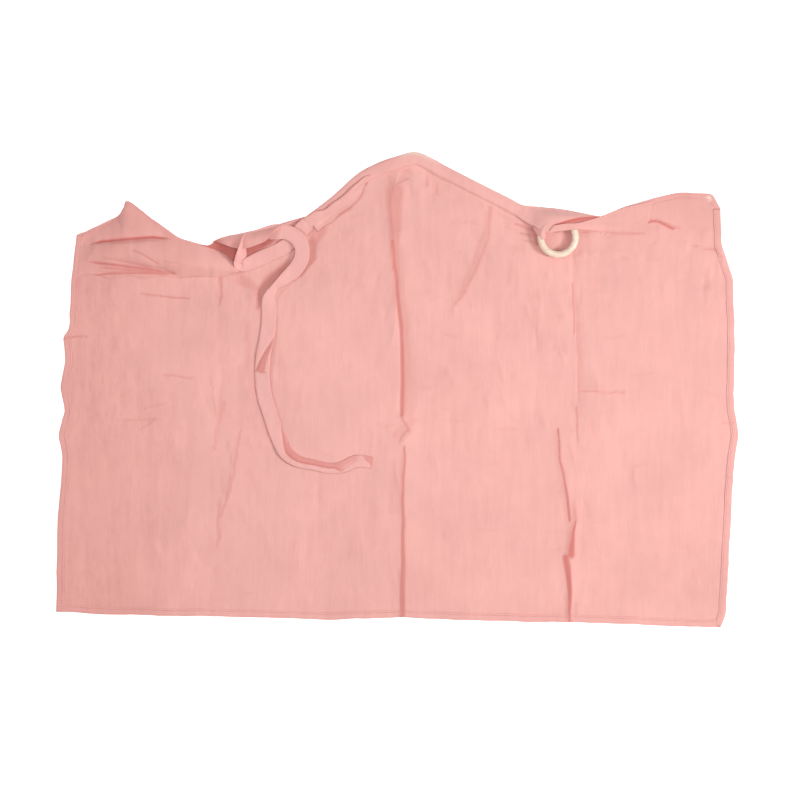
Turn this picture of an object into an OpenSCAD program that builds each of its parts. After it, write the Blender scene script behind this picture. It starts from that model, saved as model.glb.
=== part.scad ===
// Muslin nursing cover, laid flat: a hemmed cloth panel with a boned, arched neckline,
// a wooden ring in a cloth tab at one end of the arch and a neck strap at the other.
// Origin: centre of the cover's rectangle, on the surface it lies on. +Y points to the neckline.

/* [Cover] */
// Width of the cover as it lies, side hem to side hem
cover_w = 989; // [900:1:1100]
// Height of the cover as it lies, bottom hem to the top of the arch
cover_h = 689; // [620:1:760]
// Thickness of the double muslin
cloth_t = 1.2; // [0.8:0.1:1.6]
// Width of the turned hems
hem_w = 10; // [8:0.5:12]
// Thickness of a hem, three layers of cloth
hem_t = 2.4; // [2:0.1:3]

/* [Neckline] */
// Width of the sewn channel that holds the boning
casing_w = 20; // [18:0.5:24]
// Thickness of the channel with the boning in it
casing_t = 4.4; // [4.2:0.1:5]
// Width of the boning strip
boning_w = 12; // [10:0.5:13]
// Thickness of the boning strip
boning_t = 1.5; // [1:0.1:1.8]

/* [Ring and tab] */
// Outer diameter of the wooden ring
ring_d = 60; // [56:1:64]
// Diameter of the ring's round bar
bar_d = 10; // [9:0.5:11]
// Width of the cloth tab that holds the ring
tab_w = 26; // [16:1:28]
// Thickness of the cloth wrapped round the bar
tab_t = 1.6; // [1.2:0.1:1.8]

/* [Neck strap] */
// Width of the strap
strap_w = 22; // [20:1:24]
// Thickness of the strap
strap_t = 2.4; // [2:0.1:2.6]

/* [Thread] */
// Width of a row of stitches
thread_w = 0.7; // [0.5:0.1:1]
// Height of a row of stitches above the cloth
thread_t = 0.4; // [0.3:0.1:0.6]

/* [Hidden] */
$fn = 64;

cloth_colour = [0.95, 0.69, 0.66];
hem_colour = [0.91, 0.63, 0.60];
thread_colour = [0.84, 0.50, 0.48];
wood_colour = [0.96, 0.87, 0.77];
boning_colour = [0.93, 0.93, 0.90];

// The outline is laid out for a cover of this size and stretched to the driving size.
layout_w = 989;
layout_h = 689;

// Edges of the cover, anticlockwise. Each list leaves its last point to the next edge.
bottom_edge = [[-494.5, -322], [-420, -326], [-260, -329], [-95, -334], [0, -330],
               [150, -336], [280, -338], [410, -343]];
right_edge = [[468, -344.5], [476, -325], [481, -222], [487, -111], [494.5, -68], [488, -30],
              [488, 86], [486, 160], [470, 210]];
top_right_edge = [[468, 262], [456, 283], [407, 286], [328, 265], [292, 250], [232, 260]];
neck_edge = [[172, 272], [133, 292], [78, 320], [31, 343.8], [-2, 338], [-30, 328],
             [-59, 312], [-96, 279]];
top_left_edge = [[-133, 251], [-182, 236], [-255, 221], [-275, 208], [-317, 220],
                 [-354, 246], [-391, 275], [-404, 252]];
left_edge = [[-465, 224], [-473, 160], [-477, 76], [-484, 60], [-489, 0], [-484, -30],
             [-491, -67], [-486, -110], [-489, -182], [-494.5, -200]];

edges = [bottom_edge, right_edge, top_right_edge, neck_edge, top_left_edge, left_edge];
outline = [for (edge = edges, p = edge) fitted(p)];
// Number of the first outline point of each edge
first = [for (k = 0, n = 0; k <= len(edges); n = n + (k < len(edges) ? len(edges[k]) : 0), k = k + 1) n];

// Distance from a hem's inner edge, or the casing's, to its row of stitches
stitch_inset = 2;

// The casing runs on past the cloth's edge to the tab.
casing_end = [206, 250];
casing_steps = 5;
casing_line = smooth([for (p = concat([casing_end], neck_edge, [top_left_edge[0]])) fitted(p)], casing_steps);
channel_clear = 0.2;
boning_inset = (casing_w - boning_w) / 2;
boning_z = (casing_t - boning_t) / 2;
tip_wall = 0.8;
tip_end = 2;

// The ring lies on the cloth under the tab's own wrap.
ring_x = 232;
ring_y = 220;
ring_z = 9;
ring_r = (ring_d - bar_d) / 2;
running_gap = 0.3;
wrap_r = bar_d / 2 + running_gap + tab_t;
// Direction from the ring's centre to the tab's root
tab_angle = 145;
// From the bar's middle to the line that the tab bends on, just above the casing's tack
tab_len = 18;
root_r = 1.2;
root_gap = 0.2;
root_z = casing_t + thread_t + root_gap + root_r;
// Half the height of the tail where it joins the loop
tail_h = 4.8;

tack_len = 14;
tack_w = 3;

// Strap route: x, y, height of the strap's lower edge, and how far it leans off flat, in degrees
strap_route = [
    [-130, 240, 3, 0], [-139, 232, 3, 0], [-148, 221, 2.6, 0], [-159, 210, 1.6, 0],
    [-172, 202, 1.4, 0], [-186, 195.5, 1.4, 0], [-199, 190, 1.4, 0], [-211, 184, 1.6, 15],
    [-223, 179, 1.9, 64], [-231, 180, 2, 84], [-229, 187, 2.2, 78], [-225.5, 194, 2.4, 74],
    [-223.5, 205, 2.8, 68], [-222.5, 219, 3, 66], [-214, 223.5, 3.8, 48], [-197, 225.5, 5.2, 16],
    [-179, 227.5, 6, 0], [-162, 227.5, 6.2, 0], [-147, 220, 6.2, 0], [-138.5, 207, 6.2, 0],
    [-139, 190, 5.6, 0], [-148, 174, 3.8, 0], [-163, 160, 1.8, 0], [-178, 147, 1.4, 0],
    [-186, 131, 1.4, 0], [-186, 112, 1.4, 0], [-187, 92, 1.4, 0], [-190, 72, 1.4, 0],
    [-194.5, 48, 1.4, 0], [-196, 21, 1.4, 0], [-193, -8, 1.4, 0], [-184, -37, 1.4, 0],
    [-174, -66, 1.4, 0], [-162, -91, 1.4, 0], [-144, -104, 1.4, 0], [-122, -109, 1.4, 0],
    [-98, -114, 1.4, 0], [-79, -112, 1.4, 0], [-60, -104, 1.4, 0], [-37, -106, 1.4, 0]
];

function fitted(p) = [p[0] * cover_w / layout_w, p[1] * cover_h / layout_h];
function unit(v) = v / norm(v);
function to_left(v) = [-v[1], v[0]];

// The way in from a corner between directions a and b, lengthened so that edges stay parallel
function corner_inset(a, b) = let (s = to_left(a) + to_left(b)) s * 2 / (s * s);

// A closed line moved in by d
function inset_closed(p, d) = let (n = len(p)) [for (i = [0:n - 1])
    p[i] + d * corner_inset(unit(p[i] - p[(i + n - 1) % n]), unit(p[(i + 1) % n] - p[i]))];

// An open line moved to its left by d
function inset_open(p, d) = let (last = len(p) - 1) [for (i = [0:last])
    let (before = unit(p[max(i, 1)] - p[max(i, 1) - 1]),
         after = unit(p[min(i, last - 1) + 1] - p[min(i, last - 1)]))
    p[i] + d * corner_inset(before, after)];

function reversed(p) = [for (i = [len(p) - 1:-1:0]) p[i]];

// One point of a smooth curve between b and c
function blend_point(a, b, c, d, t) =
    0.5 * (2 * b + (c - a) * t + (2 * a - 5 * b + 4 * c - d) * t * t
           + (3 * b - a - 3 * c + d) * t * t * t);

// A smooth open curve through the points, with n steps between neighbours
function smooth(p, n) = let (last = len(p) - 1) concat(
    [for (i = [0:last - 1], k = [0:n - 1])
        blend_point(p[max(i - 1, 0)], p[i], p[i + 1], p[min(i + 2, last)], k / n)],
    [p[last]]);

// Part of an open line, from point number a to point number b
function part_of(p, a, b) = [for (i = [a:b]) p[i]];

// The strip of edge number k between two distances in from the outline
module edge_strip(k, near, far) {
    outer = inset_closed(outline, near);
    inner = inset_closed(outline, far);
    n = len(outline);
    polygon(concat([for (i = [first[k]:first[k + 1]]) outer[i % n]],
                   [for (i = [first[k + 1]:-1:first[k]]) inner[i % n]]));
}

// The strip beside an open line between two distances to its left
module line_strip(line, near, far) {
    polygon(concat(inset_open(line, near), reversed(inset_open(line, far))));
}

module casing_footprint() line_strip(casing_line, 0, casing_w);

module hem(k) {
    color(hem_colour) linear_extrude(hem_t) difference() {
        edge_strip(k, 0, hem_w);
        casing_footprint();
    }
}

module hem_stitching(k) {
    color(thread_colour) translate([0, 0, hem_t]) linear_extrude(thread_t) difference() {
        edge_strip(k, hem_w - stitch_inset - thread_w, hem_w - stitch_inset);
        casing_footprint();
    }
}

module cover_panel() {
    color(cloth_colour) linear_extrude(cloth_t) difference() {
        polygon(inset_closed(outline, hem_w));
        casing_footprint();
    }
}

module left_hem() hem(5);
module right_hem() hem(1);
module bottom_hem() hem(0);
module top_left_hem() hem(4);
module top_right_hem() hem(2);

module neckline_casing() {
    channel = boning_inset - tip_wall - channel_clear;
    color(cloth_colour) difference() {
        linear_extrude(casing_t) casing_footprint();
        translate([0, 0, boning_z - tip_wall - channel_clear])
            linear_extrude(boning_t + 2 * (tip_wall + channel_clear))
                line_strip(part_of(casing_line, 1, len(casing_line) - 2), channel, casing_w - channel);
    }
}

module boning_strip() {
    color(boning_colour) translate([0, 0, boning_z]) linear_extrude(boning_t)
        line_strip(part_of(casing_line, 3, len(casing_line) - 4), boning_inset, casing_w - boning_inset);
}

// A moulded cap pushed over the boning's end, at the first or the last point of a line
module boning_tip(line) {
    color(boning_colour) difference() {
        translate([0, 0, boning_z - tip_wall]) linear_extrude(boning_t + 2 * tip_wall)
            line_strip(line, boning_inset - tip_wall, casing_w - boning_inset + tip_wall);
        boning_strip();
    }
}

function past(a, b, d) = b + d * unit(b - a);

module boning_tip_left() {
    end = part_of(casing_line, len(casing_line) - 5, len(casing_line) - 4);
    boning_tip(concat(end, [past(end[0], end[1], tip_end)]));
}

module boning_tip_right() {
    end = part_of(casing_line, 3, 4);
    boning_tip(concat([past(end[1], end[0], tip_end)], end));
}

// Places its child at the ring's centre with +X pointing to the tab's root
module at_ring() translate([ring_x, ring_y, ring_z]) rotate(tab_angle) children();

module ring_solid(r) {
    rotate_extrude() translate([ring_r, 0]) circle(r = r);
}

// Side view of the tab's tail, from inside the loop to the root
module tail_profile() {
    root_drop = root_z - ring_z;
    root_x = ring_r + tab_len;
    translate([root_x, root_drop]) circle(r = root_r);
    polygon([[ring_r, tail_h], [ring_r, -tail_h],
             [root_x, root_drop - root_r], [root_x, root_drop + root_r]]);
}

module ring_tab() {
    color(cloth_colour) at_ring() difference() {
        union() {
            translate([0, tab_w / 2, 0]) rotate([90, 0, 0]) linear_extrude(tab_w) tail_profile();
            intersection() {
                ring_solid(wrap_r);
                translate([0, -tab_w / 2, -wrap_r]) cube([ring_d, tab_w, 2 * wrap_r]);
            }
        }
        ring_solid(bar_d / 2 + running_gap);
    }
}

module wooden_ring() {
    color(wood_colour) translate([ring_x, ring_y, ring_z]) ring_solid(bar_d / 2);
}

strap_steps = 2;

// Corners of the strap's section, flat with eased edges: across, then through
strap_section = [
    [0.5, -0.25], [0.5, 0.25], [0.44, 0.5], [-0.44, 0.5],
    [-0.5, 0.25], [-0.5, -0.25], [-0.44, -0.5], [0.44, -0.5]
];

module neck_strap() {
    route = smooth(strap_route, strap_steps);
    last = len(route) - 1;
    sides = len(strap_section);
    rings = [for (i = [0:last])
        let (ahead = route[min(i + 1, last)], behind = route[max(i - 1, 0)],
             along = unit([for (k = [0:2]) ahead[k] - behind[k]]),
             across = unit([-along[1], along[0], 0]),
             up = cross(along, across),
             lean = route[i][3],
             middle = (strap_w * sin(lean) + strap_t * cos(lean)) / 2)
        for (s = strap_section)
            [route[i][0], route[i][1], route[i][2] + middle]
            + strap_w * s[0] * (cos(lean) * across + sin(lean) * up)
            + strap_t * s[1] * (cos(lean) * up - sin(lean) * across)];
    sides_faces = [for (i = [0:last - 1], k = [0:sides - 1])
        let (a = i * sides + k, b = i * sides + (k + 1) % sides)
        each [[a, b, b + sides], [a, b + sides, a + sides]]];
    ends = [[for (k = [sides - 1:-1:0]) k], [for (k = [0:sides - 1]) last * sides + k]];
    color(cloth_colour) polyhedron(rings, concat(sides_faces, ends));
}

// A block of close stitches across one end of the casing
module bar_tack(i, j) {
    edge = [casing_line[i], casing_line[j]];
    color(thread_colour) translate([0, 0, casing_t]) linear_extrude(thread_t)
        line_strip([edge[0], edge[0] + tack_w * unit(edge[1] - edge[0])],
                   (casing_w - tack_len) / 2, (casing_w + tack_len) / 2);
}

module strap_bar_tack() bar_tack(len(casing_line) - 3, len(casing_line) - 1);
module ring_tab_bar_tack() bar_tack(1, 2);

module left_hem_stitching() hem_stitching(5);
module right_hem_stitching() hem_stitching(1);
module bottom_hem_stitching() hem_stitching(0);
module top_hem_stitching() {
    hem_stitching(2);
    hem_stitching(4);
}

module neckline_stitching() {
    color(thread_colour) translate([0, 0, casing_t]) linear_extrude(thread_t)
        line_strip(part_of(casing_line, 4, len(casing_line) - 5),
                   casing_w - stitch_inset - thread_w, casing_w - stitch_inset);
}

cover_panel();
left_hem();
right_hem();
bottom_hem();
top_left_hem();
top_right_hem();
neckline_casing();
boning_strip();
boning_tip_left();
boning_tip_right();
ring_tab();
wooden_ring();
neck_strap();
strap_bar_tack();
ring_tab_bar_tack();
left_hem_stitching();
right_hem_stitching();
bottom_hem_stitching();
top_hem_stitching();
neckline_stitching();
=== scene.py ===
"""Nursing cover of crinkled muslin, laid flat, with its casing, hems, strap, tab and wooden ring."""
import math

import bpy
import numpy as np
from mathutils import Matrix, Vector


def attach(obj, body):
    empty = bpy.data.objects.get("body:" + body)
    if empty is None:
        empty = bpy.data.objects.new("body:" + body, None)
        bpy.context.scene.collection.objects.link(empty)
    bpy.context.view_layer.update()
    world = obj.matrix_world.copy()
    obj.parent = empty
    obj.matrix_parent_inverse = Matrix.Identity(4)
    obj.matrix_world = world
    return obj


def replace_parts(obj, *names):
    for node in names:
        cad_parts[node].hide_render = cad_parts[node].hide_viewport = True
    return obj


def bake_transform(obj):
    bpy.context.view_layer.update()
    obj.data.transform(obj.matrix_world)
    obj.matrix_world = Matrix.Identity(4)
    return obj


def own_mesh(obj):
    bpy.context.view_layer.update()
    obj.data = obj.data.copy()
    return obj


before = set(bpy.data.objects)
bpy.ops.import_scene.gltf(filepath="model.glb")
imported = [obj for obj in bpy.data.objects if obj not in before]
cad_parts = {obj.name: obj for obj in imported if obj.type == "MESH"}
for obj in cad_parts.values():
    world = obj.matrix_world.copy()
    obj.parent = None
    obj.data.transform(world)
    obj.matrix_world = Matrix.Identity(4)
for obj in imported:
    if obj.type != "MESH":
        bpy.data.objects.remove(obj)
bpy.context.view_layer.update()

MM = 0.001

# Sizes in millimetres, as the CAD has them. RING_R is the radius at the middle of the ring's bar.
HEM_W = 10
CASING_W = 20
CASING_T = 4.4
STRAP_W = 22
STRAP_T = 2.4
RING_CENTRE = (232, 220, 9)
RING_R = 25
BAR_R = 5
STITCH_INSET = 2

# Edges of the cover, anticlockwise. The ring lies at the gap between TOP_RIGHT and NECK.
BOTTOM = [(-494.5, -322), (-420, -326), (-260, -329), (-95, -334), (0, -330),
          (150, -336), (280, -338), (410, -343), (468, -344.5)]
RIGHT = [(468, -344.5), (476, -325), (481, -222), (487, -111), (494.5, -68), (488, -30),
         (488, 86), (486, 160), (470, 210), (468, 262)]
TOP_RIGHT = [(468, 262), (456, 283), (407, 286), (328, 265), (292, 250), (232, 260)]
NECK = [(206, 250), (172, 272), (133, 292), (78, 320), (31, 343.8), (-2, 338), (-30, 328),
        (-59, 312), (-96, 279), (-133, 251)]
TOP_LEFT = [(-133, 251), (-182, 236), (-255, 221), (-275, 208), (-317, 220),
            (-354, 246), (-391, 275), (-404, 252), (-465, 224)]
LEFT = [(-465, 224), (-473, 160), (-475.5, 87), (-484, 76), (-481, 42), (-489, 1), (-482, -31),
        (-491, -66), (-485, -97), (-489, -150), (-493, -184), (-494.5, -322)]

# The strap's route, whose places and heights are the CAD's: x, y, height of its lower edge, lean off
# flat in degrees, and share of its width
STRAP_ROUTE = [
    (-130, 240, 3, 0, 1), (-139, 232, 3, 0, 1), (-148, 221, 2.6, 0, 1), (-159, 210, 1.6, 0, 1),
    (-172, 202, 1.4, 0, 1), (-186, 195.5, 1.4, 0, 1), (-199, 190, 1.4, -2, 1),
    (-211, 184, 1.6, -6, 0.95), (-223, 179, 1.9, -8, 0.8), (-231, 180, 2, 24, 0.6),
    (-229, 187, 2.2, 50, 0.75), (-225.5, 194, 2.4, 54, 1), (-223.5, 205, 2.8, 66, 0.95),
    (-222.5, 219, 3, 84, 0.5), (-214, 223.5, 3.8, 22, 0.35), (-197, 225.5, 5.2, 4, 0.7),
    (-179, 227.5, 6, 0, 1), (-162, 227.5, 6.2, 4, 1), (-147, 220, 6.2, 6, 1),
    (-138.5, 207, 6.2, 4, 1), (-139, 190, 5.6, 0, 1), (-148, 174, 3.8, -4, 1),
    (-163, 160, 1.8, -18, 0.85), (-178, 147, 1.4, -36, 0.6), (-186, 131, 1.4, -12, 0.9),
    (-186, 112, 1.4, 0, 1), (-187, 92, 1.4, 3, 1), (-190, 72, 1.4, 7, 1), (-194.5, 48, 1.4, 9, 1),
    (-196, 21, 1.4, 5, 1), (-193, -8, 1.4, 2, 1), (-184, -37, 1.4, 0, 1), (-174, -66, 1.4, -3, 1),
    (-162, -91, 1.4, -5, 0.95), (-144, -104, 1.4, -7, 0.8), (-122, -109, 1.4, -8, 0.72),
    (-98, -114, 1.4, -8, 0.72), (-79, -112, 1.4, -6, 0.8), (-60, -104, 1.4, -4, 0.85),
    (-37, -106, 1.4, 0, 0.8)]

# Where the strap doubles lengthwise: point of the route, share across at the fold, shade of the
# face to its left, shade of the fold itself, and share across where the shaded face ends
STRAP_FOLDS = [
    (0, 0.7, 0, 0, 0.8), (26.2, 0.7, 0, 0, 0.8), (26.8, 0.48, 0.42, 0.4, 0.7),
    (27.6, 0.12, 0.5, 0.45, 0.42), (28.85, -0.46, 0.58, 0.5, 0.16), (28.95, 0.7, 0, 0, 0.8),
    (31.4, 0.7, 0, 0, 0.8), (31.7, 0.45, 0.34, 0.5, 0.8), (33.0, 0.02, 0.52, 0.9, 0.8),
    (33.6, -0.02, 0.54, 1.0, 0.8), (36.3, 0.05, 0.50, 1.0, 0.8), (36.8, -0.3, 0.46, 0.9, 0.8),
    (37.1, -0.1, 0.34, 0.2, 0.8), (38.0, 0.1, 0.34, 0, 0.8), (38.35, 0.4, 0.1, 0, 0.8),
    (38.6, 0.1, 0.4, 0.2, 0.8), (38.85, 0.0, 0.4, 0.3, 0.8), (39, -0.5, 0.55, 0.4, 0.8)]


# ------------ numbers and curves

def smooth(points, steps):
    """Points on a Catmull-Rom curve, with steps between neighbours."""
    p = np.array(points, float)
    last = len(p) - 1
    out = []
    for i in range(last):
        a, b, c, d = p[max(i - 1, 0)], p[i], p[i + 1], p[min(i + 2, last)]
        for k in range(steps):
            t = k / steps
            out.append(0.5 * (2 * b + (c - a) * t + (2 * a - 5 * b + 4 * c - d) * t ** 2
                              + (3 * b - a - 3 * c + d) * t ** 3))
    out.append(p[last])
    return np.array(out)


def lengths(line):
    """Length along a line, in plan, at each of its points."""
    return np.concatenate([[0], np.cumsum(np.linalg.norm(np.diff(line[:, :2], axis=0), axis=1))])


def points_at(line, reach):
    """Points of a line at lengths along it."""
    at = lengths(line)
    return np.stack([np.interp(reach, at, line[:, k]) for k in range(line.shape[1])], axis=1)


def spaced(points, spacing):
    """The same line with its points evenly spaced."""
    line = np.array(points, float)
    whole = lengths(line)[-1]
    return points_at(line, np.linspace(0, whole, max(2, int(round(whole / spacing)) + 1)))


def leftward(line):
    """Unit vectors to the left of a line in plan."""
    along = np.gradient(line[:, :2], axis=0)
    along /= np.linalg.norm(along, axis=1)[:, None]
    return np.stack([-along[:, 1], along[:, 0]], axis=1)


def moved_left(line, distance):
    """The same line in plan, moved to its left."""
    return line[:, :2] + leftward(line) * distance


def beside(line, side, reach):
    """Points in plan at distances to the left of each point of a line, a row for each point."""
    xy = line[:, None, :2] + side[:, None, :] * np.atleast_2d(reach)[..., None]
    return xy[..., 0], xy[..., 1]


def ease(t):
    """A smooth step from 0 to 1."""
    t = np.clip(t, 0, 1)
    return t * t * (3 - 2 * t)


def bell(distance, width):
    """A smooth bump that is 1 at no distance and falls away over a width."""
    return np.exp(-(distance / width) ** 2)


def between(a, b, share):
    """A value or place that goes from a to b as a share goes from 0 to 1."""
    return a * (1 - share) + b * share


LATTICE = np.random.default_rng(11).random((512, 512))


def noise(x, y, cell_x, cell_y, shift):
    """Smooth noise from -1 to 1 with cells of that size in millimetres."""
    u = np.asarray(x, float) / cell_x + 31.7 * shift
    v = np.asarray(y, float) / cell_y + 17.3 * shift
    i, j = np.floor(u).astype(int), np.floor(v).astype(int)
    fu, fv = ease(u - i), ease(v - j)
    i, j = i % 512, j % 512
    i2, j2 = (i + 1) % 512, (j + 1) % 512
    low = between(LATTICE[i, j], LATTICE[i2, j], fu)
    high = between(LATTICE[i, j2], LATTICE[i2, j2], fu)
    return 2 * between(low, high, fv) - 1


def from_line(points, x, y):
    """Distance from a line, positive to its left, and the share of its length at the nearest place."""
    p = np.array(points, float)
    reach = lengths(p)
    best = np.full(np.shape(x), 1e9)
    signed = np.zeros(np.shape(x))
    share = np.zeros(np.shape(x))
    for k, size in enumerate(np.linalg.norm(np.diff(p, axis=0), axis=1)):
        ax, ay = p[k]
        dx, dy = (p[k + 1] - p[k]) / size
        t = np.clip((x - ax) * dx + (y - ay) * dy, 0, size)
        ex, ey = x - ax - t * dx, y - ay - t * dy
        d = np.hypot(ex, ey)
        near = d < best
        best = np.where(near, d, best)
        side = np.where(dx * ey - dy * ex >= 0, 1.0, -1.0)
        signed = np.where(near, side * d, signed)
        share = np.where(near, (reach[k] + t) / reach[-1], share)
    return signed, share


# ------------ the lie of the cloth

# Creases: route, height at the line, reach to its right and to its left, and depth of the shade painted
# on their shaded side.
# Most lines run down or to the right, so right is west or south, and left is east or north.
CREASES = [
    # centre fold
    ([(-2, 320), (-10, 275), (-7, 239), (-5, 204), (-1, 169), (0, 134), (3, 105)], 2.6, 9, 26, 0.9),
    ([(-6, 230), (-1, 169), (0, 134), (4, 99), (7, 65), (8, 21), (8, -21), (7, -50)], -2.0, 3, 12, 0.8),
    ([(2, -30), (20, -60), (1, -84)], 1.6, 5, 9, 0.3),
    ([(-34, -54), (7, -54)], -0.9, 3, 6, 0.2),
    ([(11, -70), (8, -117), (8, -160), (9, -204), (11, -247), (9, -291), (11, -345)], 1.5, 5, 22, 0.6),
    # right fold
    ([(254, 225), (256, 144), (260, 86), (262, 43), (262, -1), (258, -40)], -1.1, 3, 7, 0.35),
    ([(257, -30), (261, -90)], -0.9, 4, 6, 0.2),
    ([(230, -46), (237, -105), (242, -139), (248, -172), (250, -200)], 1.3, 7, 20, 0.4),
    ([(255, -150), (258, -189), (252, -211), (249, -237), (244, -244), (249, -269), (249, -305),
      (250, -350)], 1.9, 6, 16, 0.8),
    ([(270, -150), (268, -200), (264, -255)], -1.2, 8, 14, 0.25),
    # left fold
    ([(-256, 172), (-257, 128), (-259, 86), (-254, 14), (-259, -30), (-260, -90)], -0.8, 4, 7, 0.25),
    ([(-256, 165), (-256, 124)], -0.8, 3, 6, 0.3),
    ([(-227, -60), (-237, -109), (-247, -160)], 0.9, 6, 14, 0.3),
    ([(-257, -150), (-254, -225)], 0.8, 6, 12, 0.25),
    # level creases
    ([(260, -2), (294, -5), (330, -4)], -0.8, 4, 4, 0.25),
    ([(208, -207), (250, -207)], -0.7, 4, 4, 0.2),
    ([(-490, 75), (-440, 76)], 1.4, 6, 5, 0.5),
    ([(-430, -51), (-340, -43)], -0.8, 4, 5, 0.25),
    ([(-405, -60), (-359, -53), (-345, -41)], 0.7, 4, 5, 0.2),
    ([(-380, 141), (-337, 135), (-298, 130)], -0.9, 3, 5, 0.35),
    ([(-345, 22), (-318, 20), (-290, 16)], -0.8, 3, 5, 0.25),
    ([(-404, -44), (-351, -43)], -0.8, 3, 5, 0.2),
    ([(-397, -85), (-398, -200), (-396, -330)], 0.8, 7, 12, 0.2),
    ([(-380, -85), (-368, -200), (-360, -330)], -0.7, 7, 10, 0.15),
    ([(-300, -100), (-306, -190), (-302, -270)], 0.7, 8, 12, 0.15),
    ([(360, 238), (440, 205), (468, 208)], -0.8, 5, 6, 0.25),
    ([(420, 209), (445, 204), (470, 205)], -1.2, 4, 5, 0.3),
    ([(225, 170), (268, 160), (300, 154)], -0.6, 5, 6, 0.15),
    ([(470, 115), (496, 115)], -0.8, 4, 4, 0.3),
    ([(465, -50), (496, -50)], -0.8, 4, 4, 0.3),
    # round the neckline
    ([(136, 275), (130, 239), (127, 202), (112, 166), (95, 141), (76, 108)], 1.3, 8, 14, 0.35),
    ([(128, 205), (128, 160)], -0.8, 3, 6, 0.2),
    ([(-69, 292), (-91, 276), (-114, 257), (-130, 243)], 1.4, 7, 5, 0.7),
    ([(-60, 265), (-95, 246), (-130, 222)], 1.4, 6, 9, 0.7),
    ([(-98, 260), (-112, 232), (-122, 200)], -1.2, 8, 10, 0.3),
    ([(-18, 317), (-4, 298), (11, 312), (24, 320)], -1.2, 4, 5, 0.4),
    ([(41, 322), (41, 292)], -0.8, 2.5, 4, 0.3),
    ([(51, 320), (51, 270)], -0.9, 2.5, 4, 0.3),
    ([(59, 318), (59, 276)], -0.8, 2.5, 4, 0.25),
    ([(135, 262), (165, 243), (205, 222)], -0.9, 5, 7, 0.3),
    ([(150, 238), (180, 226), (205, 216)], -0.7, 5, 6, 0.25),
    # beside the strap
    ([(-222, 40), (-222, 10), (-208, -25)], 1.0, 12, 8, 0.25),
]
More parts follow.
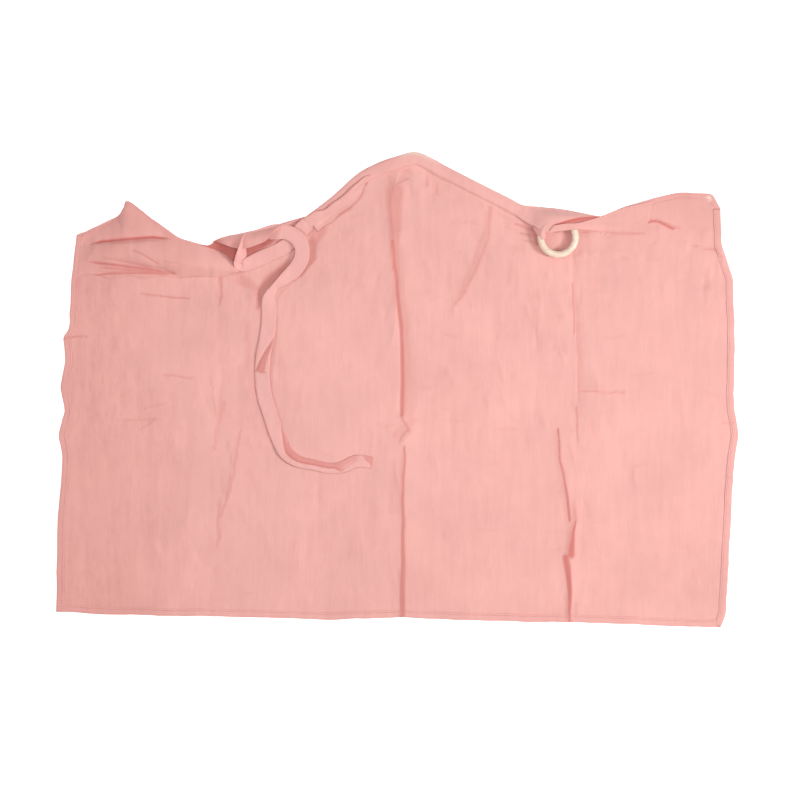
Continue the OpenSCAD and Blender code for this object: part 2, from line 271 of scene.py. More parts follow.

# Places where cloth lies in deep shade under or beside other cloth, painted into its colour: route,
# half width at its two ends, and depth of the painted shade
DEEP = [
    ([(-272, 207), (-258, 207), (-246, 199), (-243, 193)], 13, 13, 0.9),
    ([(-236, 200), (-210, 206), (-186, 218)], 9, 7, 0.85),
    ([(-186, 218), (-172, 222), (-150, 208)], 5, 5, 0.5),
    ([(-160, 178), (-185, 160), (-199, 142), (-202, 118)], 9, 3, 0.46),
    ([(-228, 158), (-212, 152), (-203, 138)], 8, 5, 0.26),
    ([(-126, 214), (-121, 190), (-140, 166)], 4, 2, 0.45),
    ([(-112, 232), (-122, 212), (-126, 190)], 9, 3, 0.4),
    ([(183, 246), (192, 240), (199, 228), (202, 212)], 2.2, 3.4, 0.66),
    ([(172, 239), (184, 235), (196, 230)], 1.5, 2, 0.45),
    ([(179, 227), (199, 222)], 1.4, 1.8, 0.36),
    ([(186, 216), (202, 212)], 1.4, 1.6, 0.3),
    ([(213, 203), (224, 201), (238, 202), (247, 210), (250, 224)], 2, 3.5, 0.32),
    ([(199, 214), (204, 203), (215, 193), (228, 188)], 2, 1, 0.2),
    # the centre fold
    ([(-4, 286), (-4, 245), (-5, 208), (-3, 172)], 12, 5, 0.36),
    ([(2, 195), (9, 115), (12, 60), (15, -36)], 4, 7, 0.17),
    ([(-2, -66), (12, -56), (22, -46)], 5, 6, 0.17),
    ([(-7, 215), (-2, 165), (1, 134), (4, 99), (7, 65), (8, 21), (7, -38)], 2.4, 2.8, 0.72),
    ([(5, -38), (13, -52), (17, -58), (9, -64), (3, -76)], 2, 1.4, 0.4),
    ([(11, -83), (8, -160), (8, -204), (9, -247), (7, -291), (7, -340)], 1.2, 4, 0.62),
    # the right fold
    ([(231, -56), (234, -92), (239, -122), (246, -158), (249, -190)], 0.9, 1.8, 0.75),
    ([(258, -190), (255, -205), (252, -240)], 0.8, 4.4, 0.85),
    ([(244, -243), (247, -270), (249, -290), (250, -345)], 4.4, 1.3, 0.8),
    ([(259, -24), (262, -76)], 1.2, 0.8, 0.4),
    ([(254, 154), (255.5, 112), (255, 80)], 1.4, 1.2, 0.42),
    ([(259, 96), (261, 50), (261, -4)], 1.3, 1.2, 0.3),
    ([(264, -1), (292, -4), (327, -3)], 1.5, 1.3, 0.3),
    # under the peak
    ([(-18, 317), (0, 319), (20, 318)], 1.3, 1.0, 0.36),
    ([(-13, 312), (-10, 294)], 1.1, 1.0, 0.3),
    ([(-3, 298), (8, 303), (17, 307)], 1.6, 1.0, 0.36),
    ([(41, 315), (41, 294)], 0.9, 0.8, 0.36),
    ([(49, 313), (49, 281)], 0.9, 0.8, 0.36),
    ([(55, 315), (56, 283)], 0.9, 0.8, 0.36),
    # creases by the edges
    ([(-486, 74), (-446, 77)], 1.2, 0.6, 0.6),
    ([(-370, 139), (-337, 135), (-302, 131)], 1.5, 1.3, 0.42),
    ([(-316, 163), (-262, 163), (-230, 166)], 0.8, 0.6, 0.3),
    ([(-256, 161), (-255, 140), (-257, 124)], 2.2, 1.5, 0.5),
    ([(-216, 95), (-216, 50), (-212, 10), (-200, -30), (-186, -62)], 4.5, 4.5, 0.17),
    ([(-247, -75), (-240, -109), (-247, -153)], 1.2, 1.2, 0.25),
    ([(330, 246), (362, 247), (392, 241), (409, 233)], 0.6, 0.9, 0.5),
    ([(362, 243), (376, 243), (388, 239), (400, 233)], 1.4, 1.8, 0.95),
    ([(134, 266), (131, 217), (115, 178), (100, 147), (84, 124)], 1.6, 2.4, 0.3),
    ([(124, 226), (112, 188), (100, 160), (88, 138)], 3.4, 2.4, 0.17),
    ([(-270, 20), (-262, -40), (-268, -90)], 1.4, 0.8, 0.2),
    ([(-402, 20), (-399, -60)], 1.2, 0.8, 0.2),
    # the open cloth at the lower left
    ([(-340, 21), (-318, 20), (-297, 17)], 1.6, 1.4, 0.3),
    ([(-366, -27), (-337, -21)], 1.6, 1.4, 0.24),
    ([(-404, -44), (-351, -43)], 1.8, 1.4, 0.26),
    ([(-351, -44), (-373, -58)], 1.6, 1.4, 0.26),
    ([(-252, -20), (-262, -60), (-266, -88)], 3.4, 2.2, 0.2),
    ([(-227, -60), (-236, -110), (-243, -148), (-257, -186)], 1.6, 2.0, 0.3),
    ([(-258, -165), (-261, -230)], 1.8, 1.6, 0.32),
    ([(-397, -92), (-398, -200), (-396, -322)], 1.8, 1.8, 0.16),
    ([(-380, -95), (-368, -200), (-360, -322)], 2.0, 2.0, 0.14),
    ([(-448, -120), (-444, -230), (-447, -318)], 2.0, 1.8, 0.12),
    ([(-300, -110), (-306, -190), (-302, -260)], 2.0, 1.8, 0.12),
    ([(424, 210), (441, 205), (462, 203)], 0.8, 0.8, 0.35),
    ([(456, 206), (470, 190)], 1.6, 0.8, 0.35),
    ([(266, 228), (300, 227), (350, 224)], 0.8, 0.6, 0.4),
    ([(-98, 284), (-74, 301), (-56, 303), (-44, 298)], 1.8, 0.8, 0.8),
]


# The part of the strap that lies down the front, beside which a narrow painted shadow lies on the cloth
LOWER_STRAP = [point[:2] for point in STRAP_ROUTE[22:]]
# The height about which the cloth lies, and the least that it has anywhere
CLOTH_LEVEL = 2.1
LOWEST_CLOTH = 0.7


def crinkled_patches(x, y):
    """How far left a place is, and how crinkled its patch of the cloth is, each from 0 to 1."""
    return ease((60 - x) / 260), ease(0.55 + 0.6 * noise(x, y, 95, 120, 1))


def crinkle(x, y):
    """The muslin's small wrinkles, mostly down the cloth on the left and fainter on the right."""
    left, patch = crinkled_patches(x, y)
    streaks = noise(x, y, 7.5, 50, 2) + 0.8 * noise(x, y, 13, 80, 3)
    level = noise(x, y, 42, 9, 4)
    dimples = noise(x, y, 10, 14, 5)
    return (0.2 + 0.34 * left) * patch * streaks + 0.16 * (1 - 0.5 * left) * level + 0.1 * dimples


# Where wrinkles gather: middle, spread each way, direction in degrees, and how many
GATHERED = [
    ((305, 205), (60, 18), 0, 34), ((-440, 110), (24, 55), -90, 30), ((-215, 110), (24, 50), -88, 20),
    ((-420, -40), (60, 110), -85, 36), ((-70, 200), (50, 50), 12, 18), ((235, 140), (50, 40), -86, 22),
    ((252, -295), (14, 34), -90, 16), ((440, 175), (30, 45), -98, 16), ((20, 300), (32, 12), -90, 12),
    ((-330, -240), (90, 60), -80, 24), ((100, -20), (80, 90), -75, 16), ((160, 220), (40, 20), -30, 14)]


def wrinkle(draw, x, y, turn, length):
    """One short faint wrinkle: its route, height, reach to each side, and depth of colour."""
    bend = draw.uniform(-0.1, 0.1)
    route = [(x, y)]
    for _ in range(3):
        turn += bend
        x, y = x + length / 3 * math.cos(turn), y + length / 3 * math.sin(turn)
        route.append((x, y))
    height = draw.uniform(0.35, 1.0) * (1 if draw.random() < 0.5 else -1)
    reach = draw.uniform(2.5, 5.5, 2)
    return route, height, reach[0], reach[1], draw.uniform(0.08, 0.5) ** 1.2


def random_wrinkles():
    """Short faint wrinkles all over: down the cloth on the left, more level on the right."""
    draw = np.random.default_rng(5)
    wrinkles = []
    for _ in range(240):
        x, y = draw.uniform(-470, 470), draw.uniform(-325, 250)
        upright = draw.random() < (0.8 if x < 0 else 0.45)
        length = draw.uniform(20, 75) * (1.0 if upright else 0.8)
        turn = math.radians(draw.normal(-90 if upright else 0, 7))
        wrinkles.append(wrinkle(draw, x, y, turn, length))
    for middle, spread_by, direction, count in GATHERED:
        for _ in range(count):
            x, y = draw.normal(middle, spread_by)
            turn = math.radians(draw.normal(direction, 6))
            wrinkles.append(wrinkle(draw, x, y, turn, draw.uniform(12, 46)))
    return wrinkles


WRINKLES = random_wrinkles()


def near_line(route, x, y, reach):
    """Which points are within reach of a line's own box."""
    p = np.array(route, float)
    low, high = p.min(axis=0) - reach, p.max(axis=0) + reach
    return (x > low[0]) & (x < high[0]) & (y > low[1]) & (y < high[1])


def pressed(route, x, y, height, right, left, taper_share, round_over):
    """Distance from a crease, how much of it is left towards its ends, its fall-off and its rise."""
    d, share = from_line(route, x, y)
    taper = ease(share / taper_share) * ease((1 - share) / taper_share)
    away = np.sqrt(d * d + round_over ** 2) - round_over
    return d, taper, away, height * taper * np.exp(-away / np.where(d > 0, left, right))


def add_creases(x, y, z, painted_shade, creases, taper_share, tint):
    """Raise or lower the cloth along creases, and deepen its colour on their shaded side."""
    for route, height, right, left, tone in creases:
        here = near_line(route, x, y, 5 * max(right, left))
        if not here.any():
            continue
        d, taper, away, rise = pressed(route, x[here], y[here], height, right, left, taper_share, 1.4)
        z[here] += rise
        shaded, lit = (left, right) if height < 0 else (right, left)
        fade = np.exp(-away / np.where((d > 0) == (height < 0), shaded * 0.6, lit * 0.1))
        painted_shade[here] = np.maximum(painted_shade[here], tone * tint * taper * fade)


def add_painted_shade(x, y, painted_shade, lines):
    """Paint shade into the colour along lines whose width grows from one end to the other."""
    for route, first, last, tone in lines:
        here = near_line(route, x, y, 2 * max(first, last))
        if not here.any():
            continue
        d, share = from_line(route, x[here], y[here])
        width = first + (last - first) * share
        painted_shade[here] = np.maximum(painted_shade[here], tone * ease(1.6 - np.abs(d) / width))


def ground(x, y):
    """Height of the cloth, and the shade painted into its colour: in the folds, beside the strap and
    towards the left.
    """
    x, y = np.atleast_1d(np.asarray(x, float)), np.atleast_1d(np.asarray(y, float))
    z = CLOTH_LEVEL + 0.9 * noise(x, y, 130, 110, 6) + 0.4 * noise(x, y, 55, 60, 7) + crinkle(x, y)
    # Painted shade: darker towards the left, the bottom and the top right corner, with a little random
    # variation
    painted_shade = 0.13 * ease((-270 - x) / 150) + 0.03 * ease((-150 - y) / 150)
    painted_shade = painted_shade + 0.03 * noise(x, y, 60, 80, 18)
    painted_shade = painted_shade + 0.05 * ease((-220 - x) / 150) * ease((-150 - y) / 150)
    painted_shade = painted_shade + 0.02 + 0.10 * ease((x - 290) / 60) * ease((y - 190) / 50)
    painted_shade = np.maximum(painted_shade, 0)
    wx = x + 1.3 * noise(x, y, 16, 22, 19)
    wy = y + 1.3 * noise(x, y, 22, 16, 20)
    add_creases(wx, wy, z, painted_shade, CREASES, 0.14, 0.5)
    add_creases(wx, wy, z, painted_shade, WRINKLES, 0.4, 0.36)
    add_painted_shade(wx, wy, painted_shade, DEEP)
    # A narrow painted shadow beside the strap's lower run
    d, share = from_line(LOWER_STRAP, x, y)
    shaded = ease(share / 0.04) * ease((0.62 - share) / 0.1)
    painted_shade = np.maximum(painted_shade, 0.24 * shaded * bell(np.abs(d) - STRAP_W / 2, 1.8))
    return np.maximum(z, LOWEST_CLOTH), painted_shade


# ------------ materials

def node_setup(name):
    """A new material with its node tree and its shader."""
    material = bpy.data.materials.new(name)
    material.use_nodes = True
    tree = material.node_tree
    return material, tree, tree.nodes["Principled BSDF"]


def add(tree, kind, **inputs):
    """A node with some of its sockets set; names of its own settings begin with an underscore."""
    node = tree.nodes.new(kind)
    for key, value in inputs.items():
        if key.startswith("_"):
            setattr(node, key[1:], value)
        else:
            node.inputs[key.replace("_", " ")].default_value = value
    return node


def texture(tree, kind, stretch, output="Fac", **inputs):
    """A texture over object coordinates, stretched by a scale for each axis."""
    where = tree.nodes.new("ShaderNodeTexCoord")
    mapping = add(tree, "ShaderNodeMapping", Scale=stretch)
    tree.links.new(where.outputs["Object"], mapping.inputs["Vector"])
    node = add(tree, kind, **inputs)
    tree.links.new(mapping.outputs["Vector"], node.inputs["Vector"])
    return node.outputs[output]


def cloudy(tree, stretch, detail, roughness):
    """A noise texture whose size comes from its stretch alone."""
    return texture(tree, "ShaderNodeTexNoise", stretch, Scale=1.0, Detail=detail, Roughness=roughness)


def ramp(tree, value, stops):
    """A colour for each value, from stops of a value and a colour or a level of grey."""
    node = tree.nodes.new("ShaderNodeValToRGB")
    elements = node.color_ramp.elements
    for k, (at, colour) in enumerate(stops):
        element = elements[k] if k < 2 else elements.new(at)
        element.position = at
        element.color = (*(colour if isinstance(colour, tuple) else (colour,) * 3), 1)
    tree.links.new(value, node.inputs["Fac"])
    return node.outputs["Color"]


def put(tree, socket, value):
    """Feed a socket from another socket, or give it a value of its own."""
    if isinstance(value, bpy.types.NodeSocket):
        tree.links.new(value, socket)
    elif socket.type == "RGBA":
        socket.default_value = (*value, 1)
    else:
        socket.default_value = value


def mixed(tree, factor, a, b, blend="MIX"):
    """A colour mix; each of factor, a and b is a value or a socket."""
    node = tree.nodes.new("ShaderNodeMix")
    node.data_type = "RGBA"
    node.blend_type = blend
    for number, value in ((0, factor), (6, a), (7, b)):
        put(tree, node.inputs[number], value)
    return node.outputs[2]


def finish(tree, shader, colour, roughness, layers):
    """Colour, roughness and bump; each layer of bump is a socket, a strength and a depth in metres."""
    put(tree, shader.inputs["Base Color"], colour)
    put(tree, shader.inputs["Roughness"], roughness)
    normal = None
    for socket, strength, distance in layers:
        bump = add(tree, "ShaderNodeBump", Strength=strength, Distance=distance)
        tree.links.new(socket, bump.inputs["Height"])
        if normal:
            tree.links.new(normal, bump.inputs["Normal"])
        normal = bump.outputs["Normal"]
    tree.links.new(normal, shader.inputs["Normal"])


WHITE = (1, 1, 1)
# The colour that painted shade on the muslin mixes towards
SHADE_PINK = (0.54, 0.14, 0.118)
# The pale colour of worn flecks at a corner and of a painted highlight on the casing
PALE_WEAR_AND_HIGHLIGHT = (0.83, 0.66, 0.56)
DYE_SPREAD = 0.06


def muslin(name, base):
    """Crinkled double muslin: woven threads, small crinkles and uneven dye, with painted shade in its
    streaks, crinkles and folds.

    Each vertex says how creped the cloth is, which sets the painted shade in its crinkles, how much
    painted shade lies there, and how pale it is, from worn flecks or a painted highlight."""
    material, tree, shader = node_setup(name)
    dye = cloudy(tree, (9, 9, 9), 4.0, 0.6)
    streaky = cloudy(tree, (95, 16, 60), 3.0, 0.55)
    crinkled = cloudy(tree, (230, 62, 120), 5.0, 0.65)
    across, down = (texture(tree, "ShaderNodeTexWave", (1, 1, 1), _bands_direction=axis, Scale=330.0,
                            Distortion=1.6, Detail=2.0, Detail_Scale=1.5) for axis in "XY")
    light = tuple(min(1, c * (1 + DYE_SPREAD)) for c in base)
    dark = tuple(c * (1 - DYE_SPREAD) for c in base)
    colour = ramp(tree, dye, [(0.3, dark), (0.7, light)])
    # Painted shade: the colour darkens in the streaks and, where the cloth is creped, in the crinkles,
    # along with their bumps
    streak_shade = ramp(tree, streaky, [(0.35, (0.975, 0.955, 0.95)), (0.6, WHITE)])
    colour = mixed(tree, 0.8, colour, streak_shade, "MULTIPLY")
    crinkle_shade = ramp(tree, crinkled, [(0.34, (0.95, 0.905, 0.895)), (0.52, WHITE)])
    for attribute, tint, blend in (("crepe", crinkle_shade, "MULTIPLY"), ("shade", SHADE_PINK, "MIX"),
                                   ("pale", PALE_WEAR_AND_HIGHLIGHT, "MIX")):
        painted = add(tree, "ShaderNodeAttribute", _attribute_name=attribute)
        colour = mixed(tree, painted.outputs["Fac"], colour, tint, blend)
    finish(tree, shader, colour, ramp(tree, crinkled, [(0.3, 0.78), (0.7, 0.92)]), [
        (streaky, 0.35, 0.0018), (crinkled, 0.32, 0.0009),
        (across, 0.5, 0.00006), (down, 0.5, 0.00006)])
    shader.inputs["Specular IOR Level"].default_value = 0.2
    shader.inputs["Sheen Weight"].default_value = 0.12
    shader.inputs["Sheen Roughness"].default_value = 0.5
    return material


def thread_material():
    """Twisted cotton thread, a shade deeper than the cloth."""
    material, tree, shader = node_setup("thread_cotton")
    twist = texture(tree, "ShaderNodeTexWave", (1, 1, 1), _bands_direction="DIAGONAL", Scale=420.0,
                    Distortion=1.0)
    colour = ramp(tree, twist, [(0.2, (0.47, 0.18, 0.155)), (0.8, (0.62, 0.27, 0.24))])
    finish(tree, shader, colour, 0.75, [(twist, 0.5, 0.0001)])
    return material


def wood_material():
    """Pale sanded beech: fine grain along one direction, small flecks and a soft sheen."""
    material, tree, shader = node_setup("ring_beech")
    grain = cloudy(tree, (45, 420, 420), 6.0, 0.6)
    blotches = cloudy(tree, (40, 60, 60), 3.0, 0.5)
    flecks = texture(tree, "ShaderNodeTexVoronoi", (160, 900, 900), "Distance", Scale=1.0)
    colour = ramp(tree, grain, [(0.3, (0.72, 0.54, 0.42)), (0.5, (0.79, 0.63, 0.51)),
                                (0.7, (0.84, 0.71, 0.60))])
    tint = ramp(tree, blotches, [(0.35, (0.93, 0.89, 0.84)), (0.65, WHITE)])
    colour = mixed(tree, 0.8, colour, tint, "MULTIPLY")
    spots = ramp(tree, flecks, [(0.06, (0.80, 0.68, 0.55)), (0.16, WHITE)])
    colour = mixed(tree, 0.5, colour, spots, "MULTIPLY")
    finish(tree, shader, colour, ramp(tree, grain, [(0.3, 0.5), (0.7, 0.36)]), [(grain, 0.35, 0.0002)])
    return material


def boning_material():
    """Milky moulded plastic with faint draw lines."""
    material, tree, shader = node_setup("boning_plastic")
    lines = cloudy(tree, (60, 60, 900), 3.0, 0.5)
    colour = ramp(tree, lines, [(0.3, (0.78, 0.78, 0.74)), (0.7, (0.86, 0.86, 0.83))])
    finish(tree, shader, colour, 0.42, [(lines, 0.3, 0.0001)])
    return material


# The material of each slot that new pieces take
MATERIALS = {
    "muslin": muslin("muslin_cloth", (0.745, 0.388, 0.352)),
    "hem_muslin": muslin("muslin_hem", (0.74, 0.378, 0.345)),
    "strap_muslin": muslin("muslin_strap", (0.75, 0.388, 0.358)),
    "thread": thread_material()}
WOOD = wood_material()
BONING = boning_material()


# ------------ meshes

def paint(piece, attribute, values):
    """Store a value at each vertex for the material to read."""
    layer = piece.data.attributes.new(attribute, "FLOAT", "POINT")
    layer.data.foreach_set("value", np.ravel(values).astype(np.float32))


def new_piece(name, vertices, faces, slot, body="cover", shade=None):
    """A mesh piece from points in millimetres; one with no body is left unattached."""
    mesh = bpy.data.meshes.new(name)
    mesh.from_pydata((np.asarray(vertices, float) * MM).tolist(), [], faces)
    mesh.validate()
    mesh.polygons.foreach_set("use_smooth", [True] * len(mesh.polygons))
    mesh.materials.append(MATERIALS[slot])
    piece = bpy.data.objects.new(name, mesh)
    paint(piece, "shade", np.zeros(len(mesh.vertices)) if shade is None else shade)
    bpy.context.scene.collection.objects.link(piece)
    if body:
        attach(piece, body)
    return piece


def grid_faces(rows, columns, closed=False, start=0):
    """Faces of a grid of points, closed across its columns where it is a tube."""
    faces = []
    wide = columns if closed else columns - 1
    for i in range(rows - 1):
        for j in range(wide):
            a = start + i * columns + j
            b = start + i * columns + (j + 1) % columns
            faces.append((a, b, b + columns, a + columns))
    return faces


def tube_faces(rows, columns, start=0):
    """Faces of a closed tube with flat ends."""
    ends = [tuple(start + k for k in range(columns - 1, -1, -1)),
            tuple(start + (rows - 1) * columns + k for k in range(columns))]
    return grid_faces(rows, columns, True, start) + ends


def cloth(name, x, y, z, shade, slot="muslin", tube=False, thickness=0, body="cover"):
    """Cloth from a grid of points: a closed tube, or a sheet with any thickness below it."""
    faces = tube_faces(*x.shape) if tube else grid_faces(*x.shape)
    points = np.stack([x, y, z], axis=-1).reshape(-1, 3)
    piece = new_piece(name, points, faces, slot, body, shade)
    if thickness:
        solid = piece.modifiers.new("Thickness", "SOLIDIFY")
        solid.thickness = thickness * MM
        solid.offset = -1
    return piece


# ------------ the panel

PANEL_INSET = 3
TOP_INSET = PANEL_INSET * 1.4
# Rows and columns of the panel's grid are close together where the narrow creases run
COARSE, FINE = 3.0, 1.4
FINE_ACROSS = [(-14, 24), (180, 206), (224, 268)]
FINE_DOWN = [(94, 106), (160, 176), (208, 236)]


def unequal(low, high, fine_bands):
    """Shares from 0 to 1 between two limits, closer together inside the fine bands."""
    at = np.arange(low, high + 0.5, 0.5)
    step = np.full(len(at), COARSE)
    for start, end in fine_bands:
        step[(at >= start) & (at <= end)] = FINE
    count = np.cumsum(0.5 / step)
    even = np.linspace(count[0], count[-1], int(count[-1] - count[0]) + 1)
    return (np.interp(even, count, at) - low) / (high - low)


def on_edge(points, at, axis):
    """The other coordinate of an edge at places along one axis, 0 for x or 1 for y."""
    p = np.array(sorted(points, key=lambda point: point[axis]), float)
    return np.interp(at, p[:, axis], p[:, 1 - axis])


def panel_grid():
    """Points of the panel in plan: a sheet stretched between its four edges."""
    u = unequal(-485, 480, FINE_ACROSS)[None, :]
    v = unequal(-335, 262, FINE_DOWN)[:, None]
    top_line = TOP_LEFT[::-1] + NECK[::-1] + TOP_RIGHT[::-1][1:]
    bottom_x = between(BOTTOM[0][0] + PANEL_INSET, BOTTOM[-1][0] - PANEL_INSET, u)
    top_x = between(LEFT[0][0] + PANEL_INSET, RIGHT[-1][0] - PANEL_INSET, u)
    bottom_y = on_edge(BOTTOM, bottom_x, 0) + PANEL_INSET
    top_y = on_edge(top_line, top_x, 0) - TOP_INSET
    left_y = between(LEFT[-1][1] + PANEL_INSET, LEFT[0][1] - PANEL_INSET, v)
    right_y = between(RIGHT[0][1] + PANEL_INSET, RIGHT[-1][1] - PANEL_INSET, v)
    left_x = on_edge(LEFT, left_y, 1) + PANEL_INSET
    right_x = on_edge(RIGHT, right_y, 1) - PANEL_INSET
    x = (1 - v) * bottom_x + v * top_x + (1 - u) * left_x + u * right_x
    y = (1 - v) * bottom_y + v * top_y + (1 - u) * left_y + u * right_y
    for corner_v, edge_x, edge_y in ((1 - v, bottom_x, bottom_y), (v, top_x, top_y)):
        x = x - corner_v * ((1 - u) * edge_x[0, 0] + u * edge_x[0, -1])
        y = y - corner_v * ((1 - u) * edge_y[0, 0] + u * edge_y[0, -1])
    return x, y


def make_panel():
    """The one large sheet, more creped on the left and in patches."""
    x, y = panel_grid()
    z, painted_shade = ground(x, y)
    piece = cloth("panel", x, y, z, painted_shade)
    left, patch = crinkled_patches(x, y)
    # The crepe value sets how much painted shade darkens the crinkles, more on the left and in patches
    paint(piece, "crepe", (0.1 + 0.8 * left) * patch)
    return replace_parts(piece, "cover_panel")


# ------------ hems and stitches

# Across a hem, from the outer fold over the top to the inner edge and back below: share and height
HEM_SECTION = [(0.0, 0.2), (0.02, 0.6), (0.08, 0.9), (0.3, 1.0), (0.6, 0.9), (0.74, 0.72),
               (0.86, 0.84), (0.95, 0.7), (0.985, 0.35), (1.0, -0.1), (0.9, -0.5), (0.5, -0.6),
               (0.04, -0.4)]
# The turned cloth reaches a little past the sewn width of the hem
HEM_SHOWN = 11
# The corner where the cloth is worn pale in flecks, and how far the wear spreads
WORN_CORNER = (459, 276)
WORN_REACH = 14

STITCH_LENGTH, STITCH_GAP, STITCH_W, STITCH_T = 3.0, 1.1, 0.7, 0.5
STITCH_STEP = 0.5
# Along a stitch: share of its length, share of its thickness, and lift off the cloth
STITCH_RINGS = [(0.0, 0.35, -0.25), (0.2, 0.9, 0.12), (0.5, 1.0, 0.2), (0.8, 0.9, 0.12),
                (1.0, 0.35, -0.25)]
# The six sides of a thread
HEXAGON = [(math.cos(a), math.sin(a)) for a in np.linspace(0, 2 * math.pi, 7)[:-1]]


def edge_line(points):
    """An edge with its corners eased and a slight unevenness."""
    line = spaced(points, 3.0)
    for _ in range(2):
        line[1:-1] = (line[:-2] + 2 * line[1:-1] + line[2:]) / 4
    x, y = line.T
    uneven = 0.5 * noise(x, y, 13, 13, 8) + 0.8 * noise(x, y, 37, 37, 24)
    ends = ease(np.minimum(np.arange(len(line)), np.arange(len(line))[::-1]) / 4)
    return line + leftward(line) * (uneven * ends)[:, None]


def hem_piece(edge, points, rise, line_tone):
    """A hem, turned twice: a strip along the edge, with a rounded fold and a stitched inner edge."""
    line = edge_line(points)
    share, height = np.array(HEM_SECTION).T
    x, y = beside(line, leftward(line), share * HEM_SHOWN)
    base, painted_shade = ground(x, y)
    base = np.minimum(base, base.mean(axis=1, keepdims=True) + 0.3)
    pucker = 1 + 0.3 * noise(x, y, 6, 6, 9)
    z = np.maximum(base + height * rise * pucker, 0.05)
    # A broken dark line along the stitched inner edge, partly the seam and partly painted shade, over
    # the panel's painted shade
    tone = 0.03 + line_tone * bell(share - 1.0, 0.04)
    broken = 0.45 + 0.75 * ease(0.5 + 1.3 * noise(x, y, 24, 24, 26))
    shade = np.maximum(tone * broken, painted_shade)
    piece = cloth(f"hem_{edge}", x, y, z, shade, "hem_muslin", tube=True)
    corner = np.hypot(x - WORN_CORNER[0], y - WORN_CORNER[1]) / WORN_REACH
    flecks = ease(noise(x, y, 5, 5, 21) * 1.6 - 0.1)
    paint(piece, "pale", 0.8 * flecks * ease(1.6 - corner))
    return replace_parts(piece, f"{edge}_hem")


def stitching(name, node, line, lift, on_panel=True):
    """Stitches along a line: short threads that rise from the cloth and dip into it again."""
    line = spaced(line, STITCH_STEP)
    side = leftward(line)
    levels = (ground(*line.T)[0] if on_panel else np.zeros(len(line))) + lift
    vertices, faces = [], []
    pitch = STITCH_LENGTH + STITCH_GAP
    for k in range(int(len(line) * STITCH_STEP / pitch) - 1):
        start = len(vertices)
        for share, size, rise in STITCH_RINGS:
            i = int(round((k * pitch + share * STITCH_LENGTH) / STITCH_STEP))
            for c, s in HEXAGON:
                x, y = line[i] + side[i] * (c * STITCH_W * 0.5 * size)
                vertices.append((x, y, levels[i] + rise + s * STITCH_T * 0.5 * size))
        faces += tube_faces(len(STITCH_RINGS), len(HEXAGON), start)
    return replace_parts(new_piece(name, vertices, faces, "thread"), node)


def make_hems():
    """Five hems and four rows of stitches; the rolled corner hides any stitches left of the arch."""
    pieces = []
    for edge, points, rise, tone in (("left", LEFT, 0.9, 0.5), ("right", RIGHT, 0.9, 0.45),
                                     ("bottom", BOTTOM, 0.8, 0.42),
                                     ("top_right", TOP_RIGHT[:-1], 0.25, 0.05),
                                     ("top_left", TOP_LEFT, 0.25, 0.05)):
        pieces.append(hem_piece(edge, points, rise, tone))
    for edge, points, lift in (("left", LEFT, 0.6), ("right", RIGHT, 0.6), ("bottom", BOTTOM, 0.6),
                               ("top", TOP_RIGHT[:-1], 0.15)):
        line = moved_left(edge_line(points), HEM_W - STITCH_INSET)
        pieces.append(stitching(f"stitches_{edge}", f"{edge}_hem_stitching", line, lift))
    return pieces


# ------------ the casing

# Across the casing, as across a hem: share and height
CASING_SECTION = [(0.0, 0.3), (0.02, 0.55), (0.06, 0.76), (0.14, 0.9), (0.3, 1.0), (0.5, 1.0),
                  (0.7, 0.97), (0.84, 0.9), (0.9, 0.62), (0.935, 0.4), (0.96, 0.46), (1.0, 0.25),
                  (0.98, 0.08), (0.5, 0.0), (0.03, 0.08)]


def casing_line():
    """The casing's outer edge, from its right end to its left."""
    return spaced(smooth(NECK, 5), 2.5)


def make_casing():
    """The sewn channel along the neckline, rounded by the boning and puckered at its seam."""
    line = casing_line()
    onward = line[-1] - line[-3]
    onward /= np.linalg.norm(onward)
    line = np.concatenate([line, [line[-1] + onward * reach for reach in (2.5, 5.0, 7.0)]])
    share, height = np.array(CASING_SECTION).T
    x, y = beside(line, leftward(line), share * CASING_W)
    pull = noise(x, y, 5, 9, 10) * (0.3 + share)
    z = 0.3 + height * (CASING_T + 0.1) * (1 + 0.05 * pull)
    seam = 0.13 * bell(share - 0.93, 0.04)
    # A darker line along the seam, and painted shade over the casing's left half
    shade = seam * (0.3 + 0.7 * ease((x - 10) / 60)) + 0.07 * ease((40 - x) / 60)
    for end_x, end_y in line[[0, -1]]:
        away = np.hypot(x - end_x, y - end_y)
        z = z + 0.9 * ease(1.7 - away / 20) * (height > 0.5)
    z[-2:] = np.minimum(z[-2:], 0.3 + (z[-2:] - 0.3) * np.array([[0.92], [0.5]]))
    piece = cloth("casing", x, y, z, shade, tube=True)
    # Painted highlight: a pale rim along the casing's outer edge near the peak
    paint(piece, "pale", 0.8 * np.exp(-((x - 28) / 26) ** 4) * bell(share, 0.2))
    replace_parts(piece, "neckline_casing")
    seam_line = moved_left(line, CASING_W - STITCH_INSET)[8:-8]
    return [piece, stitching("stitches_neckline", "neckline_stitching", seam_line, 2.6, on_panel=False)]


# A bar tack's length across the casing, half its width, and its number of steps
TACK_LENGTH, TACK_REACH, TACK_STEPS = 14, 1.3, 16


def bar_tack(name, node, at):
    """Close zigzag stitches across one end of the casing."""
    line = casing_line()
    side = leftward(line)[at]
    centre = line[at] + side * CASING_W / 2
    along = np.array([side[1], -side[0]])
    zigzag = []
    for k in range(TACK_STEPS + 1):
        reach = TACK_REACH if k % 2 else -TACK_REACH
        zigzag.append(centre + side * (TACK_LENGTH * (k / TACK_STEPS - 0.5)) + along * reach)
    vertices = []
    for (x, y), across in zip(zigzag, leftward(np.array(zigzag))):
        for c, s in HEXAGON:
            vertices.append((x + across[0] * 0.35 * c, y + across[1] * 0.35 * c,
                             CASING_T + 0.35 + 0.3 * s))
    faces = tube_faces(len(zigzag), len(HEXAGON))
    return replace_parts(new_piece(name, vertices, faces, "thread"), node)


# ------------ folds that lie on the panel

# The places in x between which the pleat lies
PLEAT_ENDS = (-138, -44)


